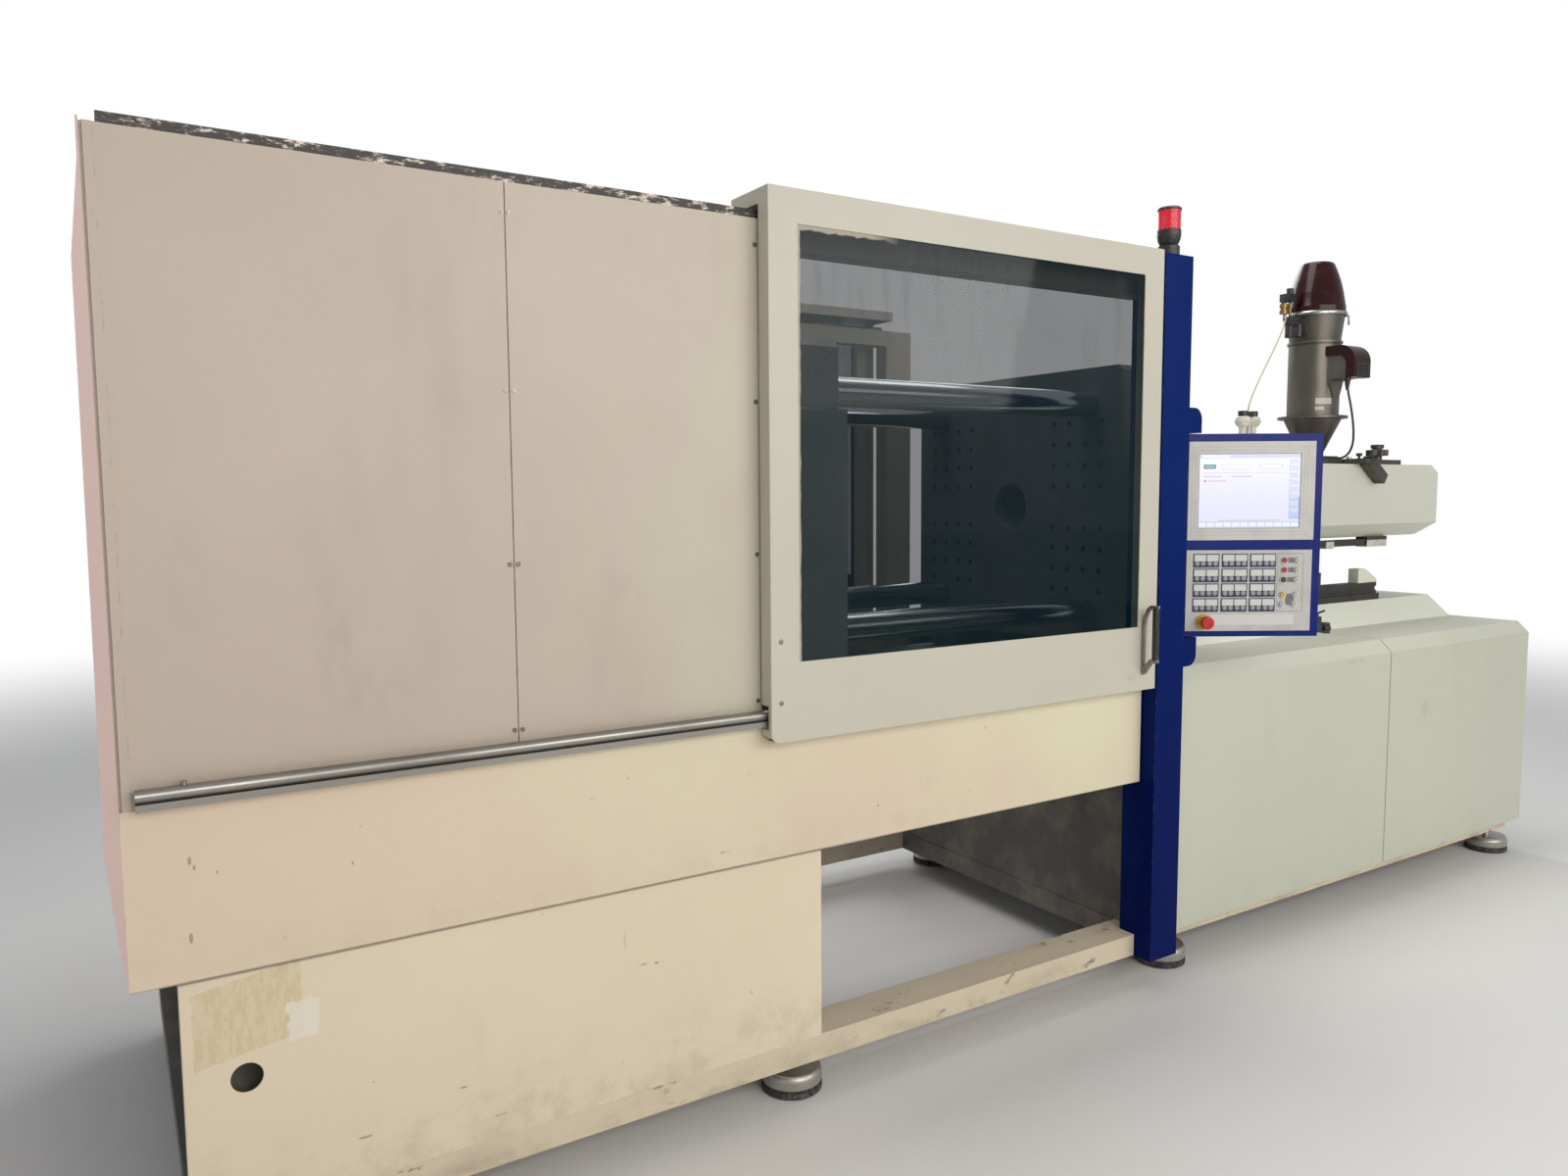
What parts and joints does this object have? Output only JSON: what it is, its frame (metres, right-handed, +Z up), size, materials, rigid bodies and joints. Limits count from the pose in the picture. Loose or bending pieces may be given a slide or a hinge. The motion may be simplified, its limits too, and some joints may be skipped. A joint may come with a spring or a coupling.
{
  "type": "injection moulding machine",
  "caption": "Horizontal injection moulding machine: clamping unit behind sliding guard doors, control panel on a blue column, injection unit with hopper loader.",
  "frame": {"origin": "centre of the floor under the outer box, doors closed and the panel swung out", "axes": "+X from the clamping end to the injection end, +Y from the operator side to the rear, +Z up"},
  "size_m": [5.172, 1.746, 2.54],
  "materials": {
    "cream_panel": "satin, worn",
    "door_paint": "satin",
    "frame_grey": "matt",
    "platen_grey": "painted",
    "polished_steel": "ground",
    "dark_steel": "oiled",
    "tube_steel": "galvanised",
    "screw_steel": "plated",
    "blue_paint": "satin",
    "case_blue": "satin",
    "pale_plastic": "matt",
    "key_plastic": "matt",
    "screen_glass": "lit display",
    "window_glass": "tinted",
    "black_plastic": "matt",
    "red_plastic": "gloss",
    "yellow_plastic": "gloss",
    "white_plastic": "matt",
    "rubber": "matt",
    "hopper_metal": "metallic",
    "burgundy": "gloss",
    "cabinet_paint": "satin",
    "tube_plastic": "clear"
  },
  "bodies": {
    "machine": {"bed_frame": "frame_grey", "foot_mounts": "screw_steel", "foot_pads": "rubber", "base_panels": "cream_panel", "aprons": "cream_panel", "guard_panels": "cream_panel", "guard_frame": "cream_panel", "end_cover": "cream_panel", "guard_roof": "cream_panel", "top_rails": "dark_steel", "bottom_rails": "tube_steel", "panel_screws": "screw_steel", "control_column": "blue_paint", "lamp_housing": "black_plastic", "lamp_lens": "red_plastic", "swivel_bracket": "blue_paint", "cabinet_panels": "cabinet_paint", "riser_cover": "cabinet_paint", "carriage_rails": "dark_steel", "fixed_platen": "platen_grey", "tie_bars": "polished_steel", "tie_bar_nuts": "dark_steel", "clamp_cylinder": "platen_grey"},
    "operator_door": {"operator_door": "door_paint", "operator_window": "window_glass", "operator_handle": "tube_steel", "operator_grip": "black_plastic", "operator_guides": "white_plastic"},
    "rear_door": {"rear_door": "door_paint", "rear_window": "window_glass", "rear_handle": "black_plastic", "rear_guides": "white_plastic"},
    "moving_platen": {"moving_platen": "platen_grey", "clamp_ram": "polished_steel", "mould_shields": "cream_panel"},
    "ejector": {"ejector_plate": "dark_steel"},
    "control_panel": {"panel_case": "case_blue", "display_bezel": "pale_plastic", "display_screen": "screen_glass", "keypad_plate": "pale_plastic", "keypad_keys": "key_plastic", "estop_collar": "yellow_plastic", "panel_clamp": "black_plastic"},
    "emergency_stop": {"estop_button": "red_plastic"},
    "injection_carriage": {"carriage_frame": "dark_steel", "injection_housing": "cabinet_paint", "barrel": "dark_steel", "nozzle": "dark_steel", "heater_bands": "screw_steel", "hopper_base": "dark_steel", "hopper_body": "hopper_metal", "blower_arm": "burgundy", "valve_block": "dark_steel", "air_filter": "white_plastic", "air_tube": "tube_plastic", "blower_cable": "rubber"},
    "screw_drive": {"screw_drive": "frame_grey"},
    "screw": {"screw": "polished_steel"},
    "hopper_gate": {"hopper_gate": "screw_steel"},
    "hopper_lid": {"hopper_lid": "burgundy"}
  },
  "joints": [
    {"name": "operator_door_slide", "type": "slide", "parent": "machine", "child": "operator_door", "axis": [-1, 0, 0], "range_m": [0, 1.21]},
    {"name": "rear_door_slide", "type": "slide", "parent": "machine", "child": "rear_door", "axis": [-1, 0, 0], "range_m": [0, 1.21]},
    {"name": "clamp_slide", "type": "slide", "parent": "machine", "child": "moving_platen", "axis": [1, 0, 0], "range_m": [0, 0.85]},
    {"name": "ejector_slide", "type": "slide", "parent": "moving_platen", "child": "ejector", "axis": [1, 0, 0], "range_m": [0, 0.11]},
    {"name": "panel_swivel", "type": "hinge", "parent": "machine", "child": "control_panel", "pos_m": [0.298, -0.611, 1.415], "axis": [0, 0, 1], "range_deg": [-45, 32]},
    {"name": "emergency_stop_press", "type": "slide", "parent": "control_panel", "child": "emergency_stop", "axis": [0.5299, 0.848, 0], "range_m": [0, 0.005], "stiffness_N_per_m": 900},
    {"name": "carriage_slide", "type": "slide", "parent": "machine", "child": "injection_carriage", "axis": [-1, 0, 0], "range_m": [-0.25, 0.065]},
    {"name": "screw_advance", "type": "slide", "parent": "injection_carriage", "child": "screw_drive", "axis": [-1, 0, 0], "range_m": [0, 0.22]},
    {"name": "screw_spin", "type": "hinge", "parent": "screw_drive", "child": "screw", "pos_m": [1.414, 0.079, 1.502], "axis": [1, 0, 0], "continuous": true},
    {"name": "hopper_gate_slide", "type": "slide", "parent": "injection_carriage", "child": "hopper_gate", "axis": [1, 0, 0], "range_m": [0, 0.12]},
    {"name": "hopper_lid_hinge", "type": "hinge", "parent": "injection_carriage", "child": "hopper_lid", "pos_m": [2.031, 0.21, 2.332], "axis": [-1, 0, 0], "range_deg": [0, 100]}
  ]
}
